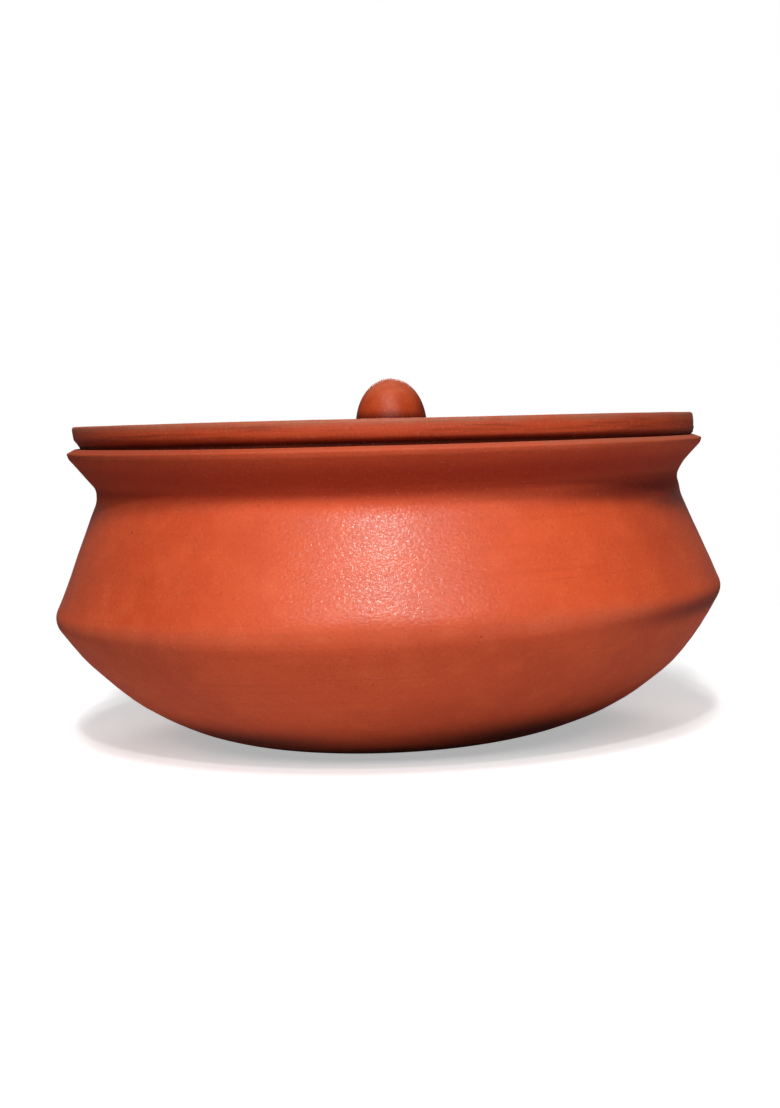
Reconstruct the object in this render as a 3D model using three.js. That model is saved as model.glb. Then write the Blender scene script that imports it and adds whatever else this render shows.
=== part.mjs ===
// Clay curd pot: a fired terracotta pot, a flat lid that lies loose in its flared mouth, and a knob
// stuck to the lid. Millimetres, +Z up, with the origin in the middle of the base.

import * as THREE from 'three';

// Pot, outside, from the base up
const baseRadius = 50; // flat that the pot stands on
const bowlHeight = 45.3; // base to ridge
const ridgeRadius = 114.4; // widest point, where the lines of bowl and shoulder cross
const bowlFootPull = 4.5; // how far the bowl curve is drawn out level past the base
const bowlRidgePull = 39.6; // how far it is drawn down from the ridge
const bowlRidgeAngle = 64; // degrees from level, where the bowl reaches the ridge
const ridgeRounding = 1.8; // from the ridge's corner to where its rounding starts
const shoulderHeight = 41.1; // ridge to neck
const shoulderLean = 16.4; // how far the shoulder leans in
const neckRounding = 6; // these roundings are measured as the ridge's is
const flareHeight = 10.9; // neck to the outer edge of the lip
const flareReach = 10.5; // how far the lip flares out from the neck
const lipThickness = 4.2;
const lipRounding = 1;

// Pot, inside
const wallThickness = 6;
const floorThickness = 7;
const insideRidgeRounding = 4;
const insideNeckRounding = 8;

// Lid plate
const seatClearance = 0.3; // between the lid's bevel and the mouth
const lidDrop = 2.7; // how far the underside lies below the lip's inner edge
const lidBevelHeight = 2.2; // part of the edge that follows the mouth
const lidEdgeHeight = 7.7; // part of the edge above the bevel
const lidEdgeTaper = 1.7; // how much wider the lid is at its top
const lidEdgeRounding = 1.2;
const lidLand = 6; // flat ring along the lid's top edge
const lidDishSlope = 14; // width of the slope down from that ring
const lidDishDepth = 2;

// Knob
const knobRadius = 11.65;
const knobDomeHeight = 13.4; // widest point to top
const knobTuckHeight = 3.3; // foot to widest point
const knobFootRadius = 9.8;
const knobOffset = 2.8; // placed by hand, a little to the right of the lid's middle

// Finish of the fired clay
const potColour = 0xc05c38;
const lidColour = 0xb25231;
const knobColour = 0xb8562f;
const burnished = 0.5;
const turnedOnly = 0.58;

// Facets
const potFacets = 72;
const knobFacets = 36;
const bowlSteps = 10;
const cornerSteps = 4;
const neckSteps = 6;
const knobDomeSteps = 8;
const knobTuckSteps = 3;

const at = (radius, height) => new THREE.Vector2(radius, height);

// Unit direction from one profile point to another
const heading = (from, to) => to.clone().sub(from).normalize();

// The side of a line that faces into the pot, for a profile that runs from the base up to the lip
const inwardOf = (direction) => at(-direction.y, direction.x);

// Rounds a corner of a profile, from a reach before its tip to the same reach after it
function roundedCorner(before, tip, after, reach, steps) {
  const start = tip.clone().addScaledVector(heading(tip, before), reach);
  const end = tip.clone().addScaledVector(heading(tip, after), reach);
  return new THREE.QuadraticBezierCurve(start, tip, end).getPoints(steps);
}

// The corner inside the wall that keeps its thickness along both of the lines that meet at the tip
function insideCorner(arriving, tip, leaving, thickness) {
  const first = inwardOf(arriving);
  const second = inwardOf(leaving);
  const mitre = first.clone().add(second).divideScalar(1 + first.dot(second));
  return tip.clone().addScaledVector(mitre, thickness);
}

// Corners of the pot's section, outside and inside
const bowlRise = THREE.MathUtils.degToRad(bowlRidgeAngle);
const bowlDirection = at(Math.cos(bowlRise), Math.sin(bowlRise));
const ridge = at(ridgeRadius, bowlHeight);
const neck = at(ridge.x - shoulderLean, ridge.y + shoulderHeight);
const lip = at(neck.x + flareReach, neck.y + flareHeight);
const shoulderDirection = heading(ridge, neck);
const flareDirection = heading(neck, lip);
const insideLip = lip.clone().addScaledVector(inwardOf(flareDirection), lipThickness);
const insideNeck = insideCorner(shoulderDirection, neck, flareDirection, wallThickness);
const insideRidge = insideCorner(bowlDirection, ridge, shoulderDirection, wallThickness);

// The bowl's outside curve, from the edge of the base to where the ridge's rounding starts
const bowlTop = ridge.clone().addScaledVector(bowlDirection, -ridgeRounding);
const bowl = new THREE.CubicBezierCurve(
  at(baseRadius, 0),
  at(baseRadius + bowlFootPull, 0),
  bowlTop.clone().addScaledVector(bowlDirection, -bowlRidgePull),
  bowlTop,
);

// Its inside curve, which goes from the floor's thickness over to the wall's
function insideBowlPoints() {
  const points = [];
  for (let step = 0; step <= bowlSteps; step += 1) {
    const along = step / bowlSteps;
    const thickness = THREE.MathUtils.lerp(floorThickness, wallThickness, along);
    points.push(bowl.getPoint(along).addScaledVector(inwardOf(bowl.getTangent(along)), thickness));
  }
  const belowRounding = (point) => insideRidge.clone().sub(point).dot(bowlDirection) > insideRidgeRounding;
  return points.filter(belowRounding);
}

function potProfile() {
  const belowRidge = ridge.clone().sub(bowlDirection);
  const belowInsideRidge = insideRidge.clone().sub(bowlDirection);
  const outside = [
    at(0, 0),
    ...bowl.getPoints(bowlSteps),
    ...roundedCorner(belowRidge, ridge, neck, ridgeRounding, cornerSteps).slice(1),
    ...roundedCorner(ridge, neck, lip, neckRounding, neckSteps),
    ...roundedCorner(neck, lip, insideLip, lipRounding, cornerSteps),
  ];
  const inside = [
    at(0, floorThickness),
    ...insideBowlPoints(),
    ...roundedCorner(belowInsideRidge, insideRidge, insideNeck, insideRidgeRounding, cornerSteps),
    ...roundedCorner(insideRidge, insideNeck, insideLip, insideNeckRounding, neckSteps),
    ...roundedCorner(insideNeck, insideLip, lip, lipRounding, cornerSteps),
  ];
  return [...outside, ...inside.reverse()];
}

// Heights on the lid count up from its underside
const lidUnderside = insideLip.y - lidDrop;
const lidTop = lidBevelHeight + lidEdgeHeight;
const lidDishFloor = lidTop - lidDishDepth;

// Radius of the lid's bevel, which runs along the mouth of the pot at the seat's clearance
function lidBevelRadius(height) {
  const mouthDirection = heading(insideNeck, insideLip);
  const onMouth = insideLip.clone().addScaledVector(inwardOf(mouthDirection), seatClearance);
  const rise = lidUnderside + height - onMouth.y;
  return onMouth.x + rise * mouthDirection.x / mouthDirection.y;
}

function lidProfile() {
  const bevelFoot = at(lidBevelRadius(0), 0);
  const bevelTop = at(lidBevelRadius(lidBevelHeight), lidBevelHeight);
  const topEdge = at(bevelTop.x + lidEdgeTaper, lidTop);
  const landInside = at(topEdge.x - lidLand, lidTop);
  const dishEdge = at(landInside.x - lidDishSlope, lidDishFloor);
  return [
    at(0, 0),
    bevelFoot,
    bevelTop,
    ...roundedCorner(bevelTop, topEdge, landInside, lidEdgeRounding, cornerSteps),
    landInside,
    dishEdge,
    at(0, lidDishFloor),
  ];
}

// The knob tucks in below its widest point, and its dome is half of an ellipse
function knobProfile() {
  const quarterTurn = Math.PI / 2;
  const tuck = new THREE.QuadraticBezierCurve(
    at(knobFootRadius, 0),
    at(knobRadius, knobTuckHeight / 2),
    at(knobRadius, knobTuckHeight),
  );
  const dome = new THREE.EllipseCurve(0, knobTuckHeight, knobRadius, knobDomeHeight, 0, quarterTurn);
  return [
    at(0, 0),
    ...tuck.getPoints(knobTuckSteps),
    ...dome.getPoints(knobDomeSteps).slice(1, -1),
    at(0, knobTuckHeight + knobDomeHeight),
  ];
}

// Turns a profile of radius and height about +Z
function turned(name, profile, facets, material) {
  const geometry = new THREE.LatheGeometry(profile, facets);
  geometry.rotateX(Math.PI / 2);
  const mesh = new THREE.Mesh(geometry, material);
  mesh.name = name;
  return mesh;
}

const terracotta = (color, roughness) => new THREE.MeshStandardMaterial({ color, roughness, metalness: 0 });

const pot = turned('pot_body', potProfile(), potFacets, terracotta(potColour, burnished));

const plate = turned('lid_plate', lidProfile(), potFacets, terracotta(lidColour, turnedOnly));
const knob = turned('lid_knob', knobProfile(), knobFacets, terracotta(knobColour, burnished));
knob.position.set(knobOffset, 0, lidDishFloor);

const lid = new THREE.Group();
lid.position.z = lidUnderside;
lid.add(plate, knob);

const curdPot = new THREE.Group();
curdPot.add(pot, lid);

export default curdPot;
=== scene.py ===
import math

import bmesh
import bpy
from mathutils import Matrix, Vector, noise
from mathutils.geometry import interpolate_bezier


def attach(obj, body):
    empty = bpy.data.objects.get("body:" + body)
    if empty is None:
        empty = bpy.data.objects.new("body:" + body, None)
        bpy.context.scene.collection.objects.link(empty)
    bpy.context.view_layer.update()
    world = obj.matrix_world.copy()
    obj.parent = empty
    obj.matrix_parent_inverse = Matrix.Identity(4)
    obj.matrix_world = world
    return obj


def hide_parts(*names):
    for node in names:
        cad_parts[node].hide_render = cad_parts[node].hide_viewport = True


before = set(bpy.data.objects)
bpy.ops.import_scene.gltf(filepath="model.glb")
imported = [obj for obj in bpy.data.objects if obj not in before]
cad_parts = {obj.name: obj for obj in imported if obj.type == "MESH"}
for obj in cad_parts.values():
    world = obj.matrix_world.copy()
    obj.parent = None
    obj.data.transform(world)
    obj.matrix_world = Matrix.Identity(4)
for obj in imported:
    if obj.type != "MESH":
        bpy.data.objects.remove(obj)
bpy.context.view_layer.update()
print("clay pot: frame loaded with", sorted(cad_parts))

mm = 0.001  # pieces are shaped in millimetres, and finishPiece brings them to metres
fullTurn = 2 * math.pi


# Small helpers for shaping

def ease(low, high, value):  # 0 below low, 1 above high, smooth between
    part = min(max((value - low) / (high - low), 0.0), 1.0)
    return part * part * (3 - 2 * part)


def bump(value, centre, spread):  # 1 at the centre, fades out over the spread on both sides
    return math.exp(-((value - centre) / spread) ** 2)


def corner(distance, reach, power):  # a rounding's depth inside a corner's tip, to be scaled for its angle
    return reach * max(0.0, 1 - abs(distance) / reach) ** power


def byHeight(stops, height):  # runs smoothly through (height, value) pairs
    for (low, start), (high, end) in zip(stops, stops[1:]):
        if height <= high:
            return start + (end - start) * ease(low, high, height)
    return stops[-1][1]


def drift(angle, height, seed, waves=1.0, tall=60.0):  # slow unevenness round the wheel, -1 to 1
    return noise.noise(Vector((waves * math.cos(angle), waves * math.sin(angle), height / tall + seed)))


def onWheel(vert):  # a point's radius, height, angle and direction outwards
    angle = math.atan2(vert.co.y, vert.co.x)
    return math.hypot(vert.co.x, vert.co.y), vert.co.z, angle, Vector((math.cos(angle), math.sin(angle), 0))


def leanRight(vert, degrees):  # lifts the right side and lowers the left
    vert.co.z += vert.co.x * math.tan(math.radians(degrees))


throwing = {
    "crowdedRadius": 30.0, "crowdedStep": 1.6,  # mm; nearer to the axis the rings stand further apart
    "cornerSegments": 2, "leastSegments": 3,  # in a rounded corner: for each step along it, and at least
    "joinDistance": 0.001,  # mm, closes the seam and the poles
    "strokeRadius": 0.1,  # m, the wall that strokes are sized for; they shrink towards the axis
    "calmRadius": 14.0,  # mm, inside which they shrink no further
    "burnishWander": 2.5, "burnishStart": 4.0, "burnishEnd": 3.0,  # mm, soft ends of the stone's strokes
}


def drawProfile(corners, spacing):
    # corners are (radius, height, rounding) in mm, along the section; spacing is the step along it
    bm = bmesh.new()
    verts = [bm.verts.new((radius, 0, height)) for radius, height, rounding in corners]
    for first, second in zip(verts, verts[1:]):
        bm.edges.new((first, second))
    for vert, (radius, height, rounding) in zip(verts, corners):
        if rounding:
            segments = max(throwing["leastSegments"], round(rounding / spacing * throwing["cornerSegments"]))
            bmesh.ops.bevel(bm, geom=[vert], offset=rounding, offset_type="OFFSET", affect="VERTICES",
                            segments=segments, profile=0.5, material=-1)
    for edge in list(bm.edges):
        middle = (edge.verts[0].co.x + edge.verts[1].co.x) / 2
        step = spacing if middle > throwing["crowdedRadius"] else spacing * throwing["crowdedStep"]
        cuts = int(edge.calc_length() / step)
        if cuts:
            bmesh.ops.subdivide_edges(bm, edges=[edge], cuts=cuts)
    along = bm.verts.layers.float.new("along")  # each point's length along the section, mm
    ends = [vert for vert in bm.verts if len(vert.link_edges) == 1]
    start = Vector((corners[0][0], 0, corners[0][1]))
    vert = min(ends, key=lambda end: (end.co - start).length)
    edge, length = vert.link_edges[0], 0.0
    while edge:
        length += edge.calc_length()
        vert = edge.other_vert(vert)
        vert[along] = length
        onward = [other for other in vert.link_edges if other is not edge]
        edge = onward[0] if onward else None
    return bm


def lengthAt(bm, radius, height):  # how far along the profile its point nearest to this one lies
    along = bm.verts.layers.float["along"]
    place = Vector((radius, 0, height))
    return min(bm.verts, key=lambda vert: (vert.co - place).length)[along]


def turnOnWheel(bm, steps):
    bmesh.ops.spin(bm, geom=bm.verts[:] + bm.edges[:], cent=(0, 0, 0), axis=(0, 0, 1), dvec=(0, 0, 0),
                   angle=fullTurn, steps=steps, use_merge=True, use_duplicate=False)
    bmesh.ops.remove_doubles(bm, verts=bm.verts[:], dist=throwing["joinDistance"])
    bmesh.ops.recalc_face_normals(bm, faces=bm.faces[:])
    bm.normal_update()


def markAt(row, places, length, azimuth):  # strength of one mark at this length along the section
    place, past, spread, strength, *patch = row
    if patch:
        middle, reach = patch
        strength *= bump((azimuth - middle + 180) % 360, 180, reach)
    return strength * bump(length, places[place] + past, spread)


def markClay(bm, piece, places):
    # the materials read the wheel's direction, wear with painted highlights, painted shade and unburnished clay
    # from these; a row of marks is (place on the section, mm past it, spread, strength), and for a patch also
    # the azimuth of its middle, in degrees from the front to the right, and its reach
    along = bm.verts.layers.float["along"]
    turning = bm.verts.layers.float_vector.new("turning")
    marked = bm.verts.layers.float_vector.new("marked")
    matt = bm.verts.layers.float.new("matt")
    ends = [places[place] + past for place, past in piece.get("burnished", ())]  # no ends: rubbed all over
    wall, startFade, endFade = throwing["strokeRadius"], throwing["burnishStart"], throwing["burnishEnd"]
    for vert in bm.verts:
        length, angle = vert[along], math.atan2(vert.co.x, -vert.co.y)
        reach = max(math.hypot(vert.co.x, vert.co.y), throwing["calmRadius"])
        vert[turning] = (vert.co.x / reach * wall, vert.co.y / reach * wall, length * mm)
        if ends:
            start, end = ends
            rubbed = length + throwing["burnishWander"] * drift(angle, 0.0, seed=2.7, waves=3.0)
            begun = ease(start - startFade, start + startFade, rubbed)
            over = ease(end - endFade, end + endFade, rubbed)
            vert[matt] = 1 - begun * (1 - over)
        # per point: wear with painted highlights, painted shade, and deeper painted shade
        vert[marked] = [
            max([0.0] + [markAt(row, places, length, math.degrees(angle)) for row in piece.get(kind, ())])
            for kind in ("wearAndHighlight", "paintedShade", "paintedDarkShade")
        ]


def finishPiece(bm, name, offset=(0, 0, 0)):
    bmesh.ops.translate(bm, verts=bm.verts[:], vec=offset)
    bmesh.ops.scale(bm, verts=bm.verts[:], vec=(mm, mm, mm))
    mesh = bpy.data.meshes.new(name)
    bm.to_mesh(mesh)
    bm.free()
    mesh.shade_smooth()
    piece = bpy.data.objects.new(name, mesh)
    bpy.context.scene.collection.objects.link(piece)
    print("clay pot:", name, "has", sum(len(face.vertices) - 2 for face in mesh.polygons), "triangles")
    return piece


# The pot

pot = {
    # the section: radius and height, mm
    "baseRadius": 48.0, "footPull": 2.4, "ridgePull": 44.1,  # the bowl's curve outside
    "floorRadius": 46.0, "floor": 7.0, "insideRidgePull": 34.0,  # and inside
    "curveSteps": 26, "curveGap": 0.6,  # the curves stop short of the ridge, so that its corner can be rounded
    "ridge": (114.2, 45.4), "ridgeAngle": 60.0, "ridgeRounding": 3.2,
    "neckLow": (98.85, 82.6), "neckHigh": (98.85, 86.9), "neckRounding": 1.4,
    "lipLow": (107.5, 96.5), "lipOutside": (108.15, 98.3), "lipInside": (105.0, 99.5), "lipRounding": 0.5,
    "insideNeck": (91.0, 87.8), "insideNeckRounding": 8.0,
    "insideRidge": (107.4, 45.9), "insideRidgeRounding": 6.0,
    "spacing": 1.25, "steps": 252,
    # the unevenness of hand throwing, mm
    "tilt": [(0, 0.0), (4, 0.0), (45, 1.05), (86, 0.0), (98, -0.5)],  # degrees, right side up, by height
    "shift": [(0, -2.5), (4, -1.8), (9, -1.0), (14, -0.6), (24, 0.3), (34, 0.0), (45, -0.3), (60, 0.0),
              (86, 0.2), (98, 0.0)],  # to the right, by height
    "stillRadius": (4, 26), "stillHeight": (1, 12),  # none at the axis and on the base
    "outOfRound": 0.35, "swayRadius": (20, 80),
    "ringsOutside": 0.025, "outsidePitch": 12.5, "ringWander": 1.4, "stoneStrokes": 0.05,
    "ringsInside": 0.32, "insidePitch": 7.0, "ringsUneven": 0.25,
    "belowLip": (8.0, 26.0), "ringsRadius": (3, 16),  # where the rings inside come in
    "toSide": (0.3, 1.0), "toFarRight": (0.7, 1.0), "offFront": (0.35, 0.95),  # shares of the way out to a side
    "crispRidge": 0.3, "crispSpread": 2.4,  # at the right
    "ridgeBead": 0.4, "beadAbove": 1.5, "beadSpread": 4.5,  # a slight roll at the left
    "softRidge": 9.0, "softUneven": 0.2, "softShare": 0.147, "tipShare": 0.22,  # at the front and back
    "roundThroat": 0.8, "throatSpread": 2.6,  # at the far right
    "neckNick": 0.8, "nickAbove": 0.4, "nickSpread": 2.4,  # sharp at the front and back
    "lipWaver": 0.25, "lipSpread": 5.0, "rimWaver": 0.2, "rimFrom": (60, 98),
    "lipRise": 0.4, "riseSpread": 2.0,  # at the left
    "slipInside": 12.0,  # along the section, from the lip to where the slip ends inside the mouth
    # marks in markClay's rows: wear with painted highlights, and painted shade
    # wear on the ridge's edge and under the base; on the lip's top, strongest at the right, it is also a
    # painted highlight
    "wearAndHighlight": [("ridge", 0.0, 3.0, 0.2), ("lipTop", 0.0, 1.9, 0.35), ("lipTop", 0.0, 1.9, 1.0, 50.0, 60.0),
             ("base", 42.0, 4.0, 0.6)],
    # painted shade: on the flare under the lip, a painted shadow line at the neck, and more at the right of the
    # neck and under the ridge
    "paintedShade": [("flare", -1.0, 6.5, 0.5), ("flare", -1.0, 6.5, 1.0, 15.0, 105.0),
               ("neck", 1.4, 2.2, 0.9), ("neck", -1.5, 4.6, 1.0, 56.0, 32.0),
               ("ridge", -2.8, 3.4, 1.0, 68.0, 24.0)],
    # deeper painted shade: where the lid sits in the mouth, on the lip's top at the left, at the right of the
    # neck and the ridge, and near the floor round the base
    "paintedDarkShade": [("insideLip", 3.0, 2.0, 1.0), ("lipTop", 0.0, 3.0, 0.15), ("lipTop", 0.0, 3.0, 0.5, -50.0, 50.0),
              ("neck", -2.0, 4.0, 0.7, 58.0, 28.0), ("neck", -1.5, 2.0, 0.3, 24.0, 18.0),
              ("neck", -6.5, 4.0, 0.7, 68.0, 12.0), ("ridge", -3.0, 3.4, 0.6, 66.0, 21.0),
              ("base", 60.0, 12.0, 0.82), ("base", 77.0, 11.0, 1.0, 34.0, 25.0),
              ("base", 75.0, 12.0, 0.95, -38.0, 30.0)],
    "burnished": (("ridge", 2.5), ("neck", -3.6)),  # the shoulder, from here to there
}


def bowlCurve(start, ridge, rounding, endPull):
    angle = math.radians(pot["ridgeAngle"])
    across, up = math.cos(angle), math.sin(angle)
    early = rounding + pot["curveGap"]
    first = Vector((start[0], 0, start[1]))
    last = Vector((ridge[0] - early * across, 0, ridge[1] - early * up))
    points = interpolate_bezier(first, first + Vector((pot["footPull"], 0, 0)),
                                last - Vector((across, 0, up)) * endPull, last, pot["curveSteps"])
    return [(point.x, point.z, 0) for point in points]


def potSection():
    outside = bowlCurve((pot["baseRadius"], 0), pot["ridge"], pot["ridgeRounding"], pot["ridgePull"])
    inside = bowlCurve((pot["floorRadius"], pot["floor"]), pot["insideRidge"], pot["insideRidgeRounding"],
                       pot["insideRidgePull"])
    upperWall = [
        (*pot["ridge"], pot["ridgeRounding"]),
        (*pot["neckLow"], pot["neckRounding"]), (*pot["neckHigh"], pot["neckRounding"]),
        (*pot["lipLow"], pot["lipRounding"]), (*pot["lipOutside"], pot["lipRounding"]),
        (*pot["lipInside"], pot["lipRounding"]),
        (*pot["insideNeck"], pot["insideNeckRounding"]), (*pot["insideRidge"], pot["insideRidgeRounding"]),
    ]
    return [(0, 0, 0)] + outside + upperWall + inside[::-1] + [(0, pot["floor"], 0)]


def shapePot(bm):
    along = bm.verts.layers.float["along"]
    ridgeAt = lengthAt(bm, *pot["ridge"])
    lowNeckAt, highNeckAt = lengthAt(bm, *pot["neckLow"]), lengthAt(bm, *pot["neckHigh"])
    neckAt = (lowNeckAt + highNeckAt) / 2
    lipAt, insideLipAt = lengthAt(bm, *pot["lipOutside"]), lengthAt(bm, *pot["lipInside"])
    ringsFrom, ringsFull = (insideLipAt + below for below in pot["belowLip"])
    turnOnWheel(bm, pot["steps"])
    for vert in bm.verts:
        radius, height, angle, outward = onWheel(vert)
        length, right = vert[along], math.cos(angle)
        loose = ease(*pot["stillRadius"], radius)
        if length <= insideLipAt:
            loose *= ease(*pot["stillHeight"], height)
        if length > ringsFrom:  # the fingers' spiral inside
            depth = pot["ringsInside"] * (1 - pot["ringsUneven"] * (1 - drift(angle, height, seed=3.1)))
            fade = ease(ringsFrom, ringsFull, length) * ease(*pot["ringsRadius"], radius)
            rings = depth * fade * math.sin(fullTurn * length / pot["insidePitch"] + angle)
        else:  # burnished almost flat outside
            wander = pot["ringWander"] * drift(angle, height, seed=7.7)
            rings = pot["ringsOutside"] * loose * math.sin(fullTurn * length / pot["outsidePitch"] + wander)
            rings += pot["stoneStrokes"] * loose * drift(angle, height, seed=5.0, waves=5.0, tall=7.0)
        vert.co += vert.normal * rings
        sway = pot["outOfRound"] * drift(angle, height, seed=1.3) * loose * ease(*pot["swayRadius"], radius)
        toRight, toLeft = ease(*pot["toSide"], right), ease(*pot["toSide"], -right)
        facing = 1 - ease(*pot["offFront"], abs(right))  # 1 at the front and back
        crisp = pot["crispRidge"] * bump(length, ridgeAt, pot["crispSpread"]) * toRight
        bead = pot["ridgeBead"] * bump(length, ridgeAt + pot["beadAbove"], pot["beadSpread"]) * toLeft
        soft = pot["softRidge"] * (1 + pot["softUneven"] * drift(angle, 0.0, seed=3.3, waves=4.0))
        soften = pot["softShare"] * corner(length - ridgeAt, soft, power=3)
        soften -= pot["tipShare"] * corner(length - ridgeAt, pot["ridgeRounding"], power=2)
        throat = bump(length, lowNeckAt, pot["throatSpread"]) + bump(length, highNeckAt, pot["throatSpread"])
        throat *= pot["roundThroat"] * ease(*pot["toFarRight"], right)
        nick = pot["neckNick"] * bump(length, neckAt + pot["nickAbove"], pot["nickSpread"]) * facing
        waver = pot["lipWaver"] * drift(angle, 0.0, seed=9.2, waves=2.2) * bump(length, lipAt, pot["lipSpread"])
        vert.co += outward * (sway + crisp + bead - soften * facing + throat - nick + waver)
        vert.co.x += byHeight(pot["shift"], height)
        leanRight(vert, byHeight(pot["tilt"], height))
        vert.co.z += pot["rimWaver"] * drift(angle, 0.0, seed=4.4, waves=1.6) * ease(*pot["rimFrom"], height)
        vert.co.z += pot["lipRise"] * bump(length, insideLipAt, pot["riseSpread"]) * toLeft
    bm.normal_update()
    markClay(bm, pot, {"base": 0.0, "ridge": ridgeAt, "neck": neckAt, "flare": (neckAt + lipAt) / 2,
                       "lipTop": (lipAt + insideLipAt) / 2, "insideLip": insideLipAt})
    return insideLipAt


potWire = drawProfile(potSection(), pot["spacing"])
slipLine = shapePot(potWire) + pot["slipInside"]
potPiece = finishPiece(potWire, "pot_clay")


# The lid

lid = {
    # the section: radius and height, mm
    "underside": 97.5, "foot": 101.2, "footRounding": 0.5,
    "seat": (102.9, 99.2), "groove": (103.2, 100.2), "grooveRounding": 0.3,
    "arris": (105.0, 101.4), "arrisRounding": 0.7, "edge": (105.6, 103.0), "edgeRounding": 1.2,
    "topEdge": (105.6, 107.05), "topRounding": 0.9,
    "land": 100.2, "landRounding": 2.5, "dish": 86.0, "dishFloor": 105.4, "dishRounding": 6.0,
    "spacing": 1.5, "steps": 228,
    # the unevenness of turning and drying, mm
    "tilt": [(97.5, -0.5), (99.5, -0.5), (101.5, -0.55), (108, -0.6)],  # degrees, by height
    "shift": [(99, 0.1), (100, 0.35), (101.4, 0.45), (103, -0.1), (107, -0.35)],  # to the right, by height
    "shiftRadius": (60, 90),
    "outOfRound": 0.2, "waver": 0.18, "swayRadius": (30, 90), "swayHeight": (99.5, 101.5),
    "rings": 0.12, "ringPitch": 5.5, "stillRadius": (4, 22), "ringsBefore": 3.0, "ringsAfter": 5.0,
    "toolMarks": 0.07, "toolMarksFrom": 2.0,  # wavy, on the edge
    "grooveFill": 0.8, "fillSpread": 1.4, "toRight": (0.3, 1.0),  # shallow at the sides, most at the right
    # wear on the foot; along the top edge it is also a painted highlight
    "wearAndHighlight": [("foot", 0.0, 1.5, 0.8), ("topEdge", 0.0, 1.3, 1.0)],
    # painted shade in the groove under the lid's edge, and on the edge's lower part at the left and the right
    "paintedDarkShade": [("groove", 0.0, 2.1, 1.0), ("arris", 0.5, 2.2, 0.45, 90.0, 45.0),
              ("arris", 0.5, 2.2, 0.45, -90.0, 45.0)],
}


def lidSection():
    return [
        (0, lid["underside"], 0), (lid["foot"], lid["underside"], lid["footRounding"]),
        (*lid["seat"], lid["grooveRounding"]), (*lid["groove"], lid["grooveRounding"]),
        (*lid["arris"], lid["arrisRounding"]), (*lid["edge"], lid["edgeRounding"]),
        (*lid["topEdge"], lid["topRounding"]), (lid["land"], lid["topEdge"][1], lid["landRounding"]),
        (lid["dish"], lid["dishFloor"], lid["dishRounding"]), (0, lid["dishFloor"], 0),
    ]


def shapeLid(bm):
    along = bm.verts.layers.float["along"]
    footAt = lengthAt(bm, lid["foot"], lid["underside"])
    grooveAt, arrisAt = lengthAt(bm, *lid["groove"]), lengthAt(bm, *lid["arris"])
    topAt = lengthAt(bm, *lid["topEdge"])
    turnOnWheel(bm, lid["steps"])
    for vert in bm.verts:
        radius, height, angle, outward = onWheel(vert)
        length, right, rings = vert[along], math.cos(angle), 0.0
        if length < footAt - lid["ringsBefore"] or length > topAt + lid["ringsAfter"]:  # the turned faces
            depth = lid["rings"] * ease(*lid["stillRadius"], radius)
            rings = depth * math.sin(fullTurn * length / lid["ringPitch"] + angle)
        elif length > arrisAt:  # the edge, with the wavy marks of a turning tool
            rings = lid["toolMarks"] * drift(angle, height, seed=2.2, waves=7.0, tall=2.4)
            rings *= ease(arrisAt, arrisAt + lid["toolMarksFrom"], length)
        vert.co += vert.normal * rings
        loose = ease(*lid["swayRadius"], radius) * ease(*lid["swayHeight"], height)
        sway = lid["outOfRound"] * drift(angle, height, seed=6.1) * loose
        filled = lid["grooveFill"] * bump(length, grooveAt, lid["fillSpread"])
        vert.co += outward * (sway + filled * (right ** 2 + ease(*lid["toRight"], right)))
        vert.co.x += byHeight(lid["shift"], height) * ease(*lid["shiftRadius"], radius)
        leanRight(vert, byHeight(lid["tilt"], height))
        vert.co.z += lid["waver"] * drift(angle, 0.0, seed=8.3, waves=1.7) * loose
    bm.normal_update()
    markClay(bm, lid, {"foot": footAt, "groove": grooveAt, "arris": arrisAt, "topEdge": topAt})


lidWire = drawProfile(lidSection(), lid["spacing"])
shapeLid(lidWire)
lidPiece = finishPiece(lidWire, "lid_clay")


# The knob

knob = {
    "offset": 2.8, "bottom": 105.1,  # mm; its foot sits a little into the plate, in the slip that holds it
    "foot": 12.9, "belly": 12.25, "bellyHeight": 0.6, "height": 16.1,
    "sidePull": 0.43, "topPull": 0.62,  # a quarter of an ellipse has 0.55 for both; these sides slope more
    "curveSteps": 30, "spacing": 0.55, "steps": 112,
    "lean": -0.55,  # degrees
    "pressed": 0.18, "pressedRadius": (1, 6), "pressedHeight": (1.5, 4),  # by the fingers
    "smear": 0.7, "smearRadius": (8, 11), "smearHeight": (0.0, 1.4),  # of slip, round the foot
    # a pale ring below the top: finger wear and a painted highlight
    "wearAndHighlight": [("top", -7.0, 4.5, 0.75)],
    # painted shade round the foot, deepest at the right and the left
    "paintedDarkShade": [("belly", 1.8, 2.2, 1.0), ("belly", 3.0, 5.5, 1.0, 85.0, 40.0),
              ("belly", 2.0, 3.5, 0.9, -95.0, 26.0)],
}


def knobSection():
    belly, top = Vector((knob["belly"], 0, knob["bellyHeight"])), Vector((0, 0, knob["height"]))
    up = Vector((0, 0, knob["sidePull"] * (knob["height"] - knob["bellyHeight"])))
    out = Vector((knob["topPull"] * knob["belly"], 0, 0))
    dome = interpolate_bezier(belly, belly + up, top + out, top, knob["curveSteps"])
    return [(0, 0, 0), (knob["foot"], 0, 0)] + [(point.x, point.z, 0) for point in dome]


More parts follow.
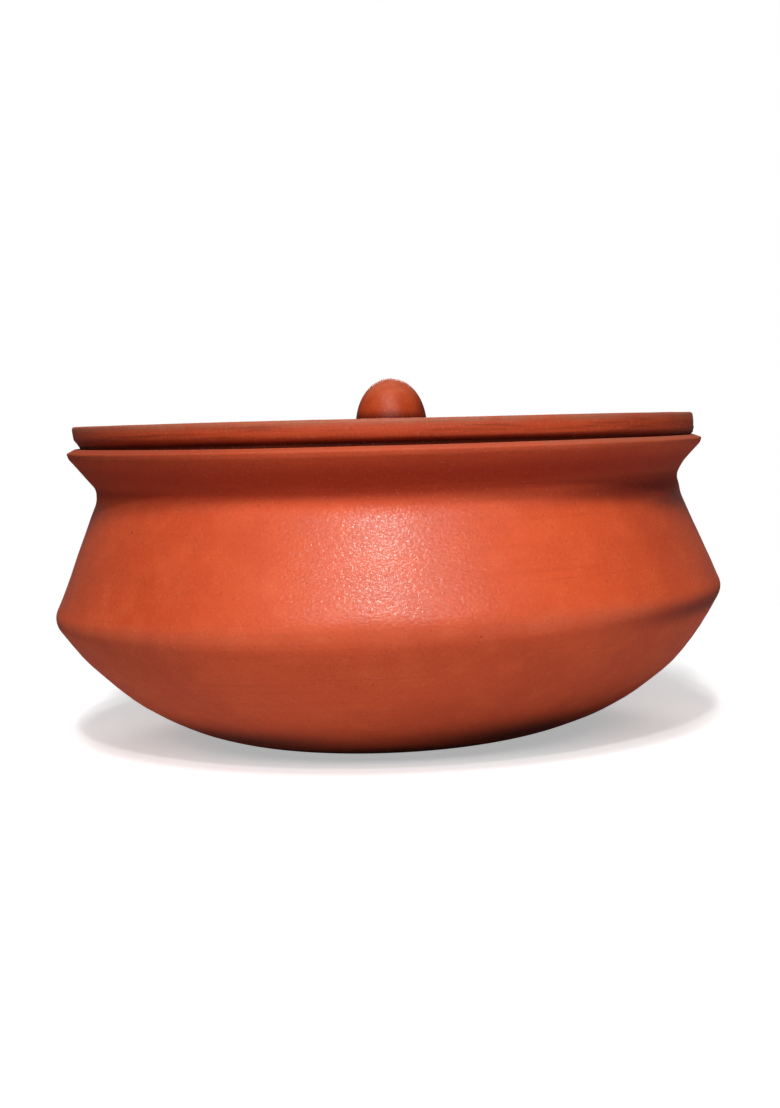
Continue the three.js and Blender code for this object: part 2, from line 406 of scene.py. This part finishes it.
def shapeKnob(bm):
    bellyAt, topAt = lengthAt(bm, knob["belly"], knob["bellyHeight"]), lengthAt(bm, 0, knob["height"])
    turnOnWheel(bm, knob["steps"])
    for vert in bm.verts:
        radius, height, angle, outward = onWheel(vert)
        pressed = knob["pressed"] * drift(angle, height, seed=2.9, waves=1.3, tall=9.0)
        pressed *= ease(*knob["pressedRadius"], radius) * ease(*knob["pressedHeight"], height)
        smear = knob["smear"] * drift(angle, 0.0, seed=6.6, waves=2.4)
        smear *= (1 - ease(*knob["smearHeight"], height)) * ease(*knob["smearRadius"], radius)
        vert.co += outward * (pressed + smear)
        leanRight(vert, knob["lean"])
    bm.normal_update()
    markClay(bm, knob, {"belly": bellyAt, "top": topAt})


knobWire = drawProfile(knobSection(), knob["spacing"])
shapeKnob(knobWire)
knobPiece = finishPiece(knobWire, "knob_clay", (knob["offset"], 0, knob["bottom"]))


# Materials

def linear(hexColour):  # sRGB hex to linear RGBA
    parts = [int(hexColour[i:i + 2], 16) / 255 for i in (1, 3, 5)]
    return tuple(c / 12.92 if c <= 0.04045 else ((c + 0.055) / 1.055) ** 2.4 for c in parts) + (1.0,)


def addNode(tree, kind, settings, links):  # settings go to the node or its sockets, links to its sockets
    node = tree.nodes.new(kind)
    for name, value in settings.items():
        if isinstance(name, str) and hasattr(node, name):
            setattr(node, name, value)
        else:
            node.inputs[name].default_value = value
    for name, socket in links.items():
        tree.links.new(socket, node.inputs[name])
    return node


def perMetre(size):  # noise scale for a grain of this size in mm
    return 1000.0 / size


# Terracotta: iron-rich clay thrown on a wheel, dipped in red slip, rubbed with a stone and fired in a wood
# kiln. To the eye that is a dense orange red with soft fire clouds, faint strokes round the pot, tiny sand
# flecks and a broad waxy sheen. The stone leaves a thin polish on the shoulder, whose fine grain sparkles under
# the light; the real grain is finer, and it is drawn as coarse as it needs to show.
potFinish = {
    "name": "terracottaBurnished", "slip": "#d05026", "cloud": "#bf4520", "mottle": "#dc5d30",
    # the pale wear colour also paints highlights; the two dark reds paint shade and deeper shade
    "bare": "#c4704c", "sand": "#e39a78", "iron": "#7c2a16", "wearAndHighlight": "#a05e46", "pit": "#58190c",
    "shadeTint": "#a22806", "darkShadeTint": "#420700", "streak": "#bf4520", "streaks": 0.4,
    "slipLine": slipLine, "slipFade": 1.2, "slipWaver": 4.0,  # mm, the slip's edge inside the mouth
    "cloudSize": 48.0, "mottleSize": 9.0, "fleckSize": 0.85, "pitSpacing": 27.0,  # mm
    "strokeLength": 70.0, "strokeWidth": 1.5, "grainLength": 1.12, "grainWidth": 0.9,  # mm
    "strokeDepth": 0.018, "grainDepth": 0.07, "sparkleDepth": 0.15, "pitDepth": -0.12,  # mm
    "ior": 1.5, "sheen": 0.38, "roughness": (0.44, 0.58), "mattRoughness": 0.82,  # matt where no stone went
    "polish": 0.21, "polishRoughness": 0.14,
}
# The lid's clay is the same, turned with a tool and only wiped with slip, so it is duller and a little browner.
lidFinish = {
    **potFinish, "name": "terracottaTurned", "slip": "#bb441f", "cloud": "#a93b19", "mottle": "#c65028",
    # its near-black deeper-shade colour paints the shade in the groove and on the edge's lower sides
    "darkShadeTint": "#2c0703", "streak": "#7d2910", "streaks": 0.75, "slipLine": 1000.0,  # past its end: slip all over
    "strokeLength": 26.0, "strokeWidth": 0.8, "strokeDepth": 0.05,
    "sheen": 0.3, "roughness": (0.55, 0.7), "polish": 0.0,
}
# The knob is pinched and rubbed by hand, with hardly a stroke of a tool; a pale ring of finger wear below its
# top is also a painted highlight, and a dark red paints the shade round its foot.
knobFinish = {
    **potFinish, "name": "terracottaRubbed", "slip": "#ab411b", "cloud": "#913113", "mottle": "#ba4e22",
    "wearAndHighlight": "#cc6c4e", "darkShadeTint": "#4c0c03", "streaks": 0.2, "slipLine": 1000.0,
    "cloudSize": 14.0, "mottleSize": 4.5, "strokeWidth": 2.5, "strokeDepth": 0.006, "grainDepth": 0.05,
    "sheen": 0.15, "roughness": (0.34, 0.44), "polish": 0.0,
}


def firedClay(finish):
    material = bpy.data.materials.new(finish["name"])
    material.use_nodes = True
    tree = material.node_tree
    tree.nodes.clear()
    place = addNode(tree, "ShaderNodeTexCoord", {}, {}).outputs["Object"]
    turning = addNode(tree, "ShaderNodeAttribute", {"attribute_name": "turning"}, {}).outputs["Vector"]
    marked = addNode(tree, "ShaderNodeAttribute", {"attribute_name": "marked"}, {}).outputs["Vector"]
    matt = addNode(tree, "ShaderNodeAttribute", {"attribute_name": "matt"}, {}).outputs["Fac"]
    marks = addNode(tree, "ShaderNodeSeparateXYZ", {}, {"Vector": marked}).outputs
    # the painted shade and the deeper painted shade
    pattern = {"paintedShade": marks["Y"], "paintedDarkShade": marks["Z"]}

    # patterns through the clay, with their size and octaves of detail, and those drawn out round the wheel
    spotted = (("clouds", "cloudSize", 3.0), ("mottling", "mottleSize", 4.0), ("flecks", "fleckSize", 2.0))
    for name, size, detail in spotted:
        settings = {"Scale": perMetre(finish[size]), "Detail": detail, "Roughness": 0.55}
        pattern[name] = addNode(tree, "ShaderNodeTexNoise", settings, {"Vector": place}).outputs["Fac"]
    drawnOut = (("strokes", "strokeLength", "strokeWidth", 3.0), ("grain", "grainLength", "grainWidth", 1.0))
    for name, lengthwise, across, detail in drawnOut:
        size = perMetre(finish[lengthwise]), perMetre(finish[lengthwise]), perMetre(finish[across])
        wheel = addNode(tree, "ShaderNodeMapping", {"Scale": size}, {"Vector": turning}).outputs["Vector"]
        settings = {"Scale": 1.0, "Detail": detail, "Roughness": 0.6}
        pattern[name] = addNode(tree, "ShaderNodeTexNoise", settings, {"Vector": wheel}).outputs["Fac"]
    pattern["pits"] = addNode(tree, "ShaderNodeTexVoronoi", {"Scale": perMetre(finish["pitSpacing"])},
                              {"Vector": place}).outputs["Distance"]

    # wear and its painted highlights come off in patches, and the slip inside the mouth ends in a wavy edge
    settings = {"From Min": 0.3, "From Max": 0.6, "To Min": 0.45, "To Max": 0.9}
    patches = addNode(tree, "ShaderNodeMapRange", settings, {"Value": pattern["mottling"]}).outputs["Result"]
    pattern["rubbed"] = addNode(tree, "ShaderNodeMath", {"operation": "MULTIPLY"},
                                {0: marks["X"], 1: patches}).outputs["Value"]
    most = finish["slipWaver"] * mm
    settings = {"From Min": 0.3, "From Max": 0.7, "To Min": -most, "To Max": most}
    waver = addNode(tree, "ShaderNodeMapRange", settings, {"Value": pattern["clouds"]}).outputs["Result"]
    alongWall = addNode(tree, "ShaderNodeSeparateXYZ", {}, {"Vector": turning}).outputs["Z"]
    pattern["inside"] = addNode(tree, "ShaderNodeMath", {"operation": "ADD"},
                                {0: alongWall, 1: waver}).outputs["Value"]

    # from the slip up: each layer's colour, its pattern, the range in which it comes in, and its strength
    slipEnd, bareFrom = finish["slipLine"] * mm, (finish["slipLine"] + finish["slipFade"]) * mm
    # the wear layer also paints pale highlights; the two shade layers paint shade and shadows
    layers = (
        ("cloud", "clouds", 0.42, 0.68, 0.75), ("mottle", "mottling", 0.45, 0.75, 0.45),
        ("streak", "strokes", 0.52, 0.72, finish["streaks"]), ("wearAndHighlight", "rubbed", 0.0, 1.0, 1.0),
        ("shadeTint", "paintedShade", 0.0, 1.0, 0.9), ("bare", "inside", slipEnd, bareFrom, 1.0),
        ("darkShadeTint", "paintedDarkShade", 0.0, 1.0, 0.85), ("iron", "flecks", 0.6, 0.72, 0.3),
        ("sand", "flecks", 0.4, 0.28, 0.12), ("pit", "pits", 0.022, 0.012, 0.5),
    )
    shown, below = {}, None
    for tint, name, low, high, strength in layers:
        settings = {"From Min": low, "From Max": high, "To Max": strength}
        shown[tint] = addNode(tree, "ShaderNodeMapRange", settings, {"Value": pattern[name]}).outputs["Result"]
        settings = {"data_type": "RGBA", 6: linear(finish["slip"]), 7: linear(finish[tint])}
        links = {"Factor": shown[tint], 6: below} if below else {"Factor": shown[tint]}
        below = addNode(tree, "ShaderNodeMix", settings, links).outputs[2]

    # the gloss is spotty where the stone went, and gone where it didn't
    smooth, dull = finish["roughness"]
    spots = addNode(tree, "ShaderNodeMix", {"data_type": "FLOAT", "Factor": 0.7},
                    {"A": pattern["mottling"], "B": pattern["flecks"]}).outputs[0]
    settings = {"From Min": 0.35, "From Max": 0.65, "To Min": smooth, "To Max": dull}
    stoned = addNode(tree, "ShaderNodeMapRange", settings, {"Value": spots}).outputs["Result"]
    rough = addNode(tree, "ShaderNodeMix", {"data_type": "FLOAT", "B": finish["mattRoughness"]},
                    {"Factor": matt, "A": stoned}).outputs[0]

    relief = None
    heights = {"grainDepth": pattern["grain"], "strokeDepth": pattern["strokes"], "pitDepth": shown["pit"]}
    for depth, height in heights.items():
        links = {0: height, 2: relief} if relief else {0: height}
        relief = addNode(tree, "ShaderNodeMath", {"operation": "MULTIPLY_ADD", 1: finish[depth] * mm, 2: 0.0},
                         links).outputs["Value"]
    normal = addNode(tree, "ShaderNodeBump", {"Strength": 1.0, "Distance": 1.0},
                     {"Height": relief}).outputs["Normal"]

    settings = {"IOR": finish["ior"], "Specular IOR Level": finish["sheen"],
                "Coat Roughness": finish["polishRoughness"]}
    links = {"Base Color": below, "Roughness": rough, "Normal": normal}
    if finish["polish"]:  # a coat with a deeper grain of its own
        polish = addNode(tree, "ShaderNodeMapRange", {"To Min": finish["polish"], "To Max": 0.0},
                         {"Value": matt}).outputs["Result"]
        sparkle = addNode(tree, "ShaderNodeBump", {"Strength": 1.0, "Distance": finish["sparkleDepth"] * mm},
                          {"Height": pattern["grain"], "Normal": normal}).outputs["Normal"]
        links.update({"Coat Weight": polish, "Coat Normal": sparkle})
    shader = addNode(tree, "ShaderNodeBsdfPrincipled", settings, links)
    addNode(tree, "ShaderNodeOutputMaterial", {}, {"Surface": shader.outputs["BSDF"]})
    return material


for piece, finish, node, body, slot in (
    (potPiece, potFinish, "pot_body", "pot", "pot_terracotta"),
    (lidPiece, lidFinish, "lid_plate", "lid", "lid_terracotta"),
    (knobPiece, knobFinish, "lid_knob", "lid", "knob_terracotta"),
):
    piece.data.materials.append(firedClay(finish))
    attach(piece, body)
    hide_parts(node)
print("clay pot: three terracotta finishes laid on")


# Floor and light

studio = {
    "floorSize": 6.0, "paper": "#f4f4f4", "bounce": "#d6d6d6", "farBounce": "#3c3c3c",
    "lift": 0.42, "worldLevel": 0.02,
    "inSheen": 0.1,  # how much of the white floor and room the clay's sheen shows
    # round zones of the floor, m: their middle, where they end and where the floor outside begins
    "clearMiddle": (0.0, 0.0, 0.0), "clearFrom": 0.17, "clearTo": 0.42,  # outside, it is seen white
    "sheetMiddle": (0.05, -0.06, 0.0), "sheetFrom": 0.13, "sheetTo": 0.32,  # outside, it is dim
    "shadeMiddle": (0.02, 0.0, 0.0), "shadeFrom": 0.065, "shadeTo": 0.106,  # inside, it throws no light back
    "aim": (0, 0, 0.06), "distance": 1.3,  # m, what the panels point at, and from how far
    # width and height, m; azimuth, from the front to the right seen from the pot, and elevation, degrees; watts
    "panels": {
        "keyPanel": (0.25, 0.25, -4, 53, 9.2),  # the main soft light
        "glintPanel": (0.06, 0.07, -2, 40.5, 4.2),  # small, so that the polish sparkles
        "frontPanel": (1.25, 0.25, -1, 30, 7.4),  # broad and low, for the flare and the shoulder's ends
        "backPanel": (0.6, 0.4, 180, 25, 5.5),  # for views from behind
    },
}


def seenShare(tree):  # 1 for what the camera sees, and a little for what a sheen shows
    path = addNode(tree, "ShaderNodeLightPath", {}, {}).outputs
    sheen = addNode(tree, "ShaderNodeMath", {"operation": "MULTIPLY", 1: studio["inSheen"]},
                    {0: path["Is Glossy Ray"]}).outputs["Value"]
    share = path["Is Camera Ray"]
    for other in (sheen, path["Is Transmission Ray"]):
        share = addNode(tree, "ShaderNodeMath", {"operation": "MAXIMUM"}, {0: share, 1: other}).outputs["Value"]
    return share


def paleFloor():
    bm = bmesh.new()
    bmesh.ops.create_grid(bm, x_segments=1, y_segments=1, size=studio["floorSize"])
    mesh = bpy.data.meshes.new("floor")
    bm.to_mesh(mesh)
    bm.free()
    floor = bpy.data.objects.new("floor", mesh)
    bpy.context.scene.collection.objects.link(floor)
    material = bpy.data.materials.new("whitePaperSweep")  # matt paper: no gloss, only a soft shadow
    material.use_nodes = True
    tree = material.node_tree
    tree.nodes.clear()
    place = addNode(tree, "ShaderNodeTexCoord", {}, {}).outputs["Object"]
    seen = seenShare(tree)

    outside = {}  # 0 in the middle of each zone, 1 outside it
    for zone in ("clear", "sheet", "shade"):
        away = addNode(tree, "ShaderNodeVectorMath", {"operation": "DISTANCE", 1: studio[zone + "Middle"]},
                       {0: place}).outputs["Value"]
        settings = {"interpolation_type": "SMOOTHSTEP", "From Min": studio[zone + "From"],
                    "From Max": studio[zone + "To"]}
        outside[zone] = addNode(tree, "ShaderNodeMapRange", settings, {"Value": away}).outputs["Result"]

    # what the floor throws back on the pot: a pale sheet in front, dim beyond it, nothing close under the pot
    settings = {"data_type": "RGBA", 6: linear(studio["bounce"]), 7: linear(studio["farBounce"])}
    thrown = addNode(tree, "ShaderNodeMix", settings, {"Factor": outside["sheet"]}).outputs[2]
    thrown = addNode(tree, "ShaderNodeMix", {"data_type": "RGBA", 6: (0, 0, 0, 1)},
                     {"Factor": outside["shade"], 7: thrown}).outputs[2]

    # what is seen of it: pale paper with the shadow, white further out
    tone = addNode(tree, "ShaderNodeMix", {"data_type": "RGBA", 7: linear(studio["paper"])},
                   {"Factor": seen, 6: thrown}).outputs[2]
    paper = addNode(tree, "ShaderNodeBsdfDiffuse", {}, {"Color": tone}).outputs[0]
    lift = addNode(tree, "ShaderNodeMath", {"operation": "MULTIPLY", 1: studio["lift"]},
                   {0: seen}).outputs["Value"]
    glow = addNode(tree, "ShaderNodeEmission", {}, {"Strength": lift}).outputs[0]
    near = addNode(tree, "ShaderNodeAddShader", {}, {0: paper, 1: glow}).outputs[0]
    white = addNode(tree, "ShaderNodeEmission", {"Strength": 1.0}, {}).outputs[0]
    far = addNode(tree, "ShaderNodeMath", {"operation": "MULTIPLY"},
                  {0: outside["clear"], 1: seen}).outputs["Value"]
    both = addNode(tree, "ShaderNodeMixShader", {}, {0: far, 1: near, 2: white}).outputs[0]
    addNode(tree, "ShaderNodeOutputMaterial", {}, {"Surface": both})
    floor.data.materials.append(material)


def whiteRoom():
    world = bpy.data.worlds.new("whiteRoom")
    bpy.context.scene.world = world
    world.use_nodes = True
    tree = world.node_tree
    tree.nodes.clear()
    level = addNode(tree, "ShaderNodeMapRange", {"To Min": studio["worldLevel"], "To Max": 1.0},
                    {"Value": seenShare(tree)}).outputs["Result"]
    room = addNode(tree, "ShaderNodeBackground", {"Color": (1, 1, 1, 1)}, {"Strength": level})
    addNode(tree, "ShaderNodeOutputWorld", {}, {"Surface": room.outputs[0]})


def softPanel(name, width, height, azimuth, elevation, watts):
    lamp = bpy.data.lights.new(name, "AREA")
    lamp.shape, lamp.size, lamp.size_y, lamp.energy = "RECTANGLE", width, height, watts
    holder = bpy.data.objects.new(name, lamp)
    turn, rise = math.radians(azimuth), math.radians(elevation)
    towards = Vector((math.sin(turn) * math.cos(rise), -math.cos(turn) * math.cos(rise), math.sin(rise)))
    holder.location = Vector(studio["aim"]) + towards * studio["distance"]
    holder.rotation_euler = towards.to_track_quat("Z", "Y").to_euler()
    holder.visible_camera = False
    bpy.context.scene.collection.objects.link(holder)


paleFloor()
whiteRoom()
for name, panel in studio["panels"].items():
    softPanel(name, *panel)
print("clay pot: floor and light ready")


# Camera at the photograph's viewing angle

camera = {"place": (0.00075, -0.6, 0.1053), "pitch": 4.28, "roll": 2.0, "lens": 56.27, "sensor": 36.0}
cameraData = bpy.data.cameras.new("camera")
cameraData.lens, cameraData.sensor_width = camera["lens"], camera["sensor"]
cameraObject = bpy.data.objects.new("camera", cameraData)
cameraObject.matrix_world = (
    Matrix.Translation(camera["place"])
    @ Matrix.Rotation(math.radians(90 - camera["pitch"]), 4, "X")
    @ Matrix.Rotation(math.radians(-camera["roll"]), 4, "Z")
)
bpy.context.scene.collection.objects.link(cameraObject)
bpy.context.scene.camera = cameraObject
bpy.context.scene.view_settings.view_transform = "Standard"
print("clay pot: camera set")
